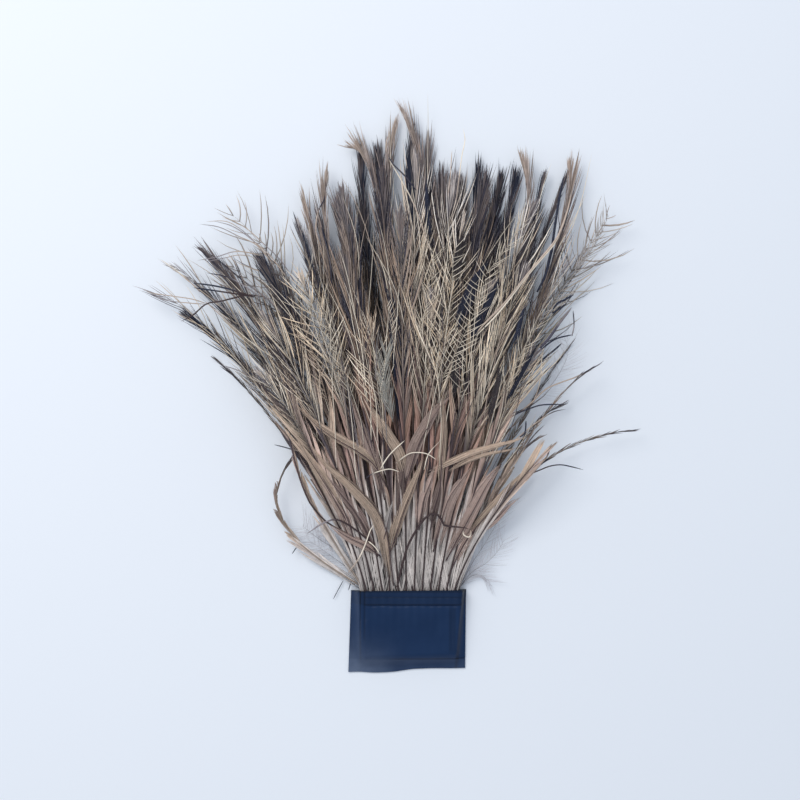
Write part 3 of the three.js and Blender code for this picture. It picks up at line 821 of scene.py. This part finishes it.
# The wrap, as corners, walls and creases
WRAP_TOP = np.array([(-33.0, 23.4), (34.2, 24.0)])
WRAP_BOTTOM = np.array([(-34.6, -24.4), (33.6, -22.0)])
WRAP_HEIGHT = 7.2
FLANGE = 0.8
BULGE_TOP = (-28.2, 31.8)
BULGE_BOTTOM = (-23.3, 26.2)
LEFT_SLOPE = (9.0, 4.4)
RIGHT_SLOPE = (6.5, 2.2)
STUCK = 1.5
BULGE_RISE = 9.0
HEM = 8.4
FAINT_HEM = 3.6
LEFT_CREASE_X = -27.6
SECOND_CREASE_X = -25.2
RIGHT_CREASE_X = 25.6
RIGHT_SLOPE_X = 30.8
OVERLAP_Y = -16.2
WRAP_COLUMNS = 170
WRAP_ROWS = 120


def groove(distance, width, depth):
    return -depth * np.exp(-(distance / width) ** 2)


def wrap_top(x, y, v):
    """The wrap's upper side: a low bulge with its hem, creases and wrinkles."""
    left = lerp(BULGE_BOTTOM[0], BULGE_TOP[0], v)
    right = lerp(BULGE_BOTTOM[1], BULGE_TOP[1], v)
    across = ease(x, left - lerp(*LEFT_SLOPE, v), left)
    across *= 1 - ease(x, right, right + lerp(*RIGHT_SLOPE, v))
    bottom_y = lerp(*WRAP_BOTTOM[:, 1], (x + 34) / 68)
    up = ease(y - bottom_y, STUCK, STUCK + BULGE_RISE)
    z = FLANGE + (WRAP_HEIGHT - FLANGE) * across * up
    from_top = MOUTH_Y - 1.1 - y
    inner = ease(x, -25, -22) * (1 - ease(x, 27, 31))
    # the hem's fold, a fainter one above it, and the creases at both sides
    z += 0.22 * (1 - ease(from_top, HEM - 0.6, HEM + 0.3)) * across
    z += groove(from_top - HEM - 0.4 + 0.15 * np.sin(x * 0.35), 0.5, 0.45) * inner
    z += groove(from_top - FAINT_HEM - 0.01 * x + 0.1 * np.sin(x * 0.6), 0.45, 0.16) * inner
    z += groove(x - LEFT_CREASE_X - 0.015 * y, 0.45, 0.5) * ease(y, -8, 2)
    z += groove(x - SECOND_CREASE_X - 0.03 * y, 0.5, 0.28) * ease(y, -14, -4)
    z += groove(x - RIGHT_CREASE_X, 0.7, 0.22) * ease(y, -14, -6) * (1 - ease(y, 10, 14))
    z += groove(x - RIGHT_SLOPE_X, 0.5, 0.25)
    # a slanted fold beside the left crease
    fold = ease(x + 27.4 - 0.28 * (7 - y), -0.4, 0.4)
    fold *= 1 - ease(x + 22.6 + 0.1 * y, -0.4, 1.6)
    z += 0.3 * fold * ease(y, -9, -5) * (1 - ease(y, 5, 8))
    # the edge of the last turn of tape
    edge_y = OVERLAP_Y - 1.6 * (1 - ease(x, -14, 6)) + 0.02 * x
    z += 0.25 * ease(y - edge_y, -0.15, 0.35) * ease(x, -16, -8)
    z += 0.09 * np.sin(2 * math.pi * x / 4.7 + 0.6) * ease(v, 0.3, 0.9) * across
    z += 0.16 * np.sin(x * 0.19 + y * 0.12 + 1.0) * np.sin(y * 0.22 - x * 0.05) * across * up
    return z + 0.05 * np.sin(x * 0.9 + y * 0.35) * np.sin(y * 0.7 + 2.0 + x * 0.2) * up


def bottom_wave(x):
    """How far the wrap's bottom edge lies off the straight line between its corners."""
    sag = ease(x, -30, -18) * (1 - ease(x, -13, 4))
    rise = ease(x, -8, 6) * (1 - ease(x, 12, 32))
    return 0.5 * rise - 0.9 * sag


def plain_solid(name, points, faces):
    mesh = bpy.data.meshes.new(name)
    mesh.from_pydata((np.array(points) * MM).tolist(), [], faces)
    mesh.update()
    return new_object(name, mesh)


def wrap_shell():
    """The wrap's closed outer form: a fine upper side over a flat underside."""
    u = np.linspace(0, 1, WRAP_COLUMNS)[None, :]
    v = np.linspace(0, 1, WRAP_ROWS)[:, None]
    x, y = (lerp(lerp(*WRAP_BOTTOM[:, i], u), lerp(*WRAP_TOP[:, i], u), v) for i in (0, 1))
    y += bottom_wave(x) * (1 - v) ** 2
    top = np.dstack([x, y, wrap_top(x, y, v)]).reshape(-1, 3)
    under = np.dstack([x, y, np.zeros_like(x)]).reshape(-1, 3)
    index = np.arange(WRAP_ROWS * WRAP_COLUMNS).reshape(WRAP_ROWS, WRAP_COLUMNS)
    a, b, c, d = index[:-1, :-1], index[:-1, 1:], index[1:, 1:], index[1:, :-1]
    quads = np.stack([a, b, c, d], axis=-1).reshape(-1, 4)
    shift = index.size
    rim = np.concatenate([index[0, :-1], index[:-1, -1], index[-1, :0:-1], index[:0:-1, 0]])
    after = np.roll(rim, -1)
    sides = np.stack([rim, rim + shift, after + shift, after], axis=-1)
    faces = np.concatenate([quads, quads[:, ::-1] + shift, sides])
    return plain_solid("taped_wrap", np.concatenate([top, under]), faces.tolist())


def wrap_pocket():
    """The hollow that the quills fill, as a cutter."""
    ring = [(-28.6, TAPE), (32.2, TAPE), (31.0, WRAP_HEIGHT - TAPE), (-27.4, WRAP_HEIGHT - TAPE)]
    points = [(x * POCKET_TAPER, -12.0, z) for x, z in ring] + [(x, MOUTH_Y + 4, z) for x, z in ring]
    faces = [(3, 2, 1, 0), (4, 5, 6, 7)] + [(i, (i + 1) % 4, (i + 1) % 4 + 4, i + 4) for i in range(4)]
    return plain_solid("pocket_cutter", points, faces)


def edge_mask(value, near, far):
    """1 where the value is near, 0 where it is far, smooth between."""
    node = add_node(value.id_data, "MapRange", {"From Min": near, "From Max": far, "To Min": 1, "To Max": 0})
    node.interpolation_type = "SMOOTHSTEP"
    value.id_data.links.new(value, node.inputs["Value"])
    return node.outputs["Result"]


def maths(operation, a, b):
    tree = (b if isinstance(a, float) else a).id_data
    node = add_node(tree, "Math")
    node.operation = operation
    for value, socket in zip((a, b), node.inputs):
        if isinstance(value, float):
            socket.default_value = value
        else:
            tree.links.new(value, socket)
    return node.outputs["Value"]


def times(a, b):
    return maths("MULTIPLY", a, b)


def band(value, centre, half):
    """1 along the line where the value is the centre, 0 past half to either side."""
    aside = maths("ABSOLUTE", maths("SUBTRACT", value, centre), 0.0)
    return edge_mask(aside, 0.0, half)


def within(value, low, high, soft):
    """1 where the value lies between low and high, 0 outside, soft at both ends."""
    return times(edge_mask(value, high, high + soft), edge_mask(value, low, low - soft))


def weighted(pairs):
    total = 0.0
    for mask, weight in pairs:
        total = maths("ADD", times(mask, weight), total)
    return total


def dust_mask(x, y, haze):
    """Dust and painted light: the strip at the left, the last turn's edge and most in the bottom left corner.
    """
    strip = edge_mask(x, -28.5, -27.0)
    last_turn = edge_mask(y, -17.2, -16.0)
    corner = times(edge_mask(x, -34.0, 12.0), edge_mask(y, -24.0, 12.0))
    dust = weighted([(strip, 0.22), (last_turn, 0.32), (times(corner, corner), 1.6)])
    return times(dust, haze)


def crease_shade(x, y):
    """How light the tape is, as painted shade: less in the hem's band, and least in its creases."""
    inner = within(x, -23.5, 30.0, 3.0)
    above_hem = edge_mask(y, 16.2, 15.4)
    hem = times(band(y, 15.6, 0.9), inner)
    faint_hem = times(band(y, 19.9, 0.8), inner)
    left_crease = band(x, -27.5, 0.9)
    second_crease = times(band(x, -25.0, 1.0), edge_mask(y, 2.0, -10.0))
    right_band = times(within(x, 24.8, 27.2, 1.5), within(y, -10.0, 12.0, 4.0))
    leaning = maths("SUBTRACT", x, times(y, 0.103))
    right_slope = band(leaning, 30.6, 1.8)
    turn_edge = times(band(y, OVERLAP_Y, 0.8), edge_mask(x, -4.0, -14.0))
    rim = maths("SUBTRACT", 1.0, edge_mask(y, 22.2, 23.2))
    dark = weighted([
        (above_hem, 0.22), (hem, 0.45), (faint_hem, 0.22), (left_crease, 0.40), (second_crease, 0.28),
        (right_band, 0.22), (right_slope, 0.45), (turn_edge, 0.40), (rim, 0.3)])
    return maths("SUBTRACT", 1.0, dark)


def tape_material():
    """Black tape, bluish in the light: painted shade in its creases, dust and painted light low at the left,
    finely grained.
    """
    material, tree, shader = new_material("black_tape")
    set_inputs(shader, {"Specular IOR Level": 0.18})
    where = add_node(tree, "TexCoord")
    split = add_node(tree, "SeparateXYZ")
    haze = add_node(tree, "TexNoise", {"Scale": 45, "Detail": 5})
    x, y = (times(split.outputs[axis], 1 / MM) for axis in "XY")
    dust = dust_mask(x, y, haze.outputs["Fac"])
    shade = crease_shade(x, y)
    shaded = add_node(tree, "VectorMath")
    shaded.operation = "SCALE"
    tone = add_node(tree, "ValToRGB")
    stops = tone.color_ramp.elements
    stops[0].position, stops[0].color = 0.3, (0.003, 0.020, 0.068, 1)
    stops[1].position, stops[1].color = 0.75, (0.008, 0.030, 0.090, 1)
    gloss = add_node(tree, "MapRange", {"To Min": 0.38, "To Max": 0.56})
    grain = add_node(tree, "TexNoise", {"Scale": 900, "Detail": 2})
    bump = add_node(tree, "Bump", {"Strength": 0.25, "Distance": 0.0001})
    # dust and painted light: a pale bluish grey mixed into the tape's colour where the mask is high
    dusty = add_node(tree, "Mix")
    dusty.data_type = "RGBA"
    dusty.inputs["B"].default_value = (0.105, 0.140, 0.220, 1)
    set_links([
        (where.outputs["Object"], split.inputs["Vector"]),
        (where.outputs["Object"], haze.inputs["Vector"]),
        (where.outputs["Object"], grain.inputs["Vector"]),
        (haze.outputs["Fac"], tone.inputs["Fac"]),
        (haze.outputs["Fac"], gloss.inputs["Value"]),
        (dust, dusty.inputs["Factor"]),
        (tone.outputs["Color"], shaded.inputs[0]),
        (shade, shaded.inputs["Scale"]),
        (shaded.outputs["Vector"], dusty.inputs["A"]),
        (dusty.outputs["Result"], shader.inputs["Base Color"]),
        (gloss.outputs["Result"], shader.inputs["Roughness"]),
        (grain.outputs["Fac"], bump.inputs["Height"]),
        (bump.outputs["Normal"], shader.inputs["Normal"]),
    ])
    return material


def make_wrap():
    piece = wrap_shell()
    cutter = wrap_pocket()
    modifier = piece.modifiers.new("pocket", "BOOLEAN")
    modifier.operation = "DIFFERENCE"
    modifier.solver = "EXACT"
    modifier.object = cutter
    bpy.context.view_layer.objects.active = piece
    bpy.ops.object.modifier_apply(modifier="pocket")
    bpy.data.objects.remove(cutter)
    piece.data.shade_smooth()
    piece.data.set_sharp_from_angle(angle=math.radians(40))
    piece.data.materials.append(tape_material())
    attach(piece, "root")
    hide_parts("tape_wrap")


def make_floor():
    bpy.ops.mesh.primitive_plane_add(size=4, location=(0, 0, 0))
    floor = bpy.context.active_object
    floor.name = "floor"
    material, _, shader = new_material("pale_floor")
    set_inputs(shader, {"Base Color": (0.86, 0.90, 0.97, 1), "Roughness": 0.9})
    floor.data.materials.append(material)


def make_camera():
    data = bpy.data.cameras.new("camera")
    data.sensor_width = 36
    data.lens = 36 * CAMERA_HEIGHT / PICTURE_SPAN
    camera = new_object("camera", data)
    camera.location = (*CAMERA_CENTRE * MM, CAMERA_HEIGHT * MM)
    bpy.context.scene.camera = camera


def make_light():
    world = bpy.data.worlds.new("sky")
    world.use_nodes = True
    set_inputs(world.node_tree.nodes["Background"], {"Color": (0.86, 0.92, 1.0, 1), "Strength": 0.68})
    bpy.context.scene.world = world
    data = bpy.data.lights.new("key", "AREA")
    data.energy = 11
    data.size = 0.8
    data.color = (1.0, 0.97, 0.92)
    key = new_object("key", data)
    key.location = (-0.7, 0.9, 1.1)
    direction = Vector((0, 0.13, 0)) - key.location
    key.rotation_euler = direction.to_track_quat("-Z", "Y").to_euler()
    bpy.context.scene.view_settings.view_transform = "Standard"


def as_lists(box):
    return [[float(value) for value in corner] for corner in box]


make_camera()
make_light()
make_floor()
BARBS = feather_material("feather_barbs")
make_feathers(BARBS)
make_strays(BARBS)
make_vanes(BARBS)
make_wisps(BARBS)
make_fringes("down", [down_fringe(*spray) for spray in DOWN], 77, BARBS)
make_fringes("v_rows", V_ROWS, 91, BARBS)
make_wrap()
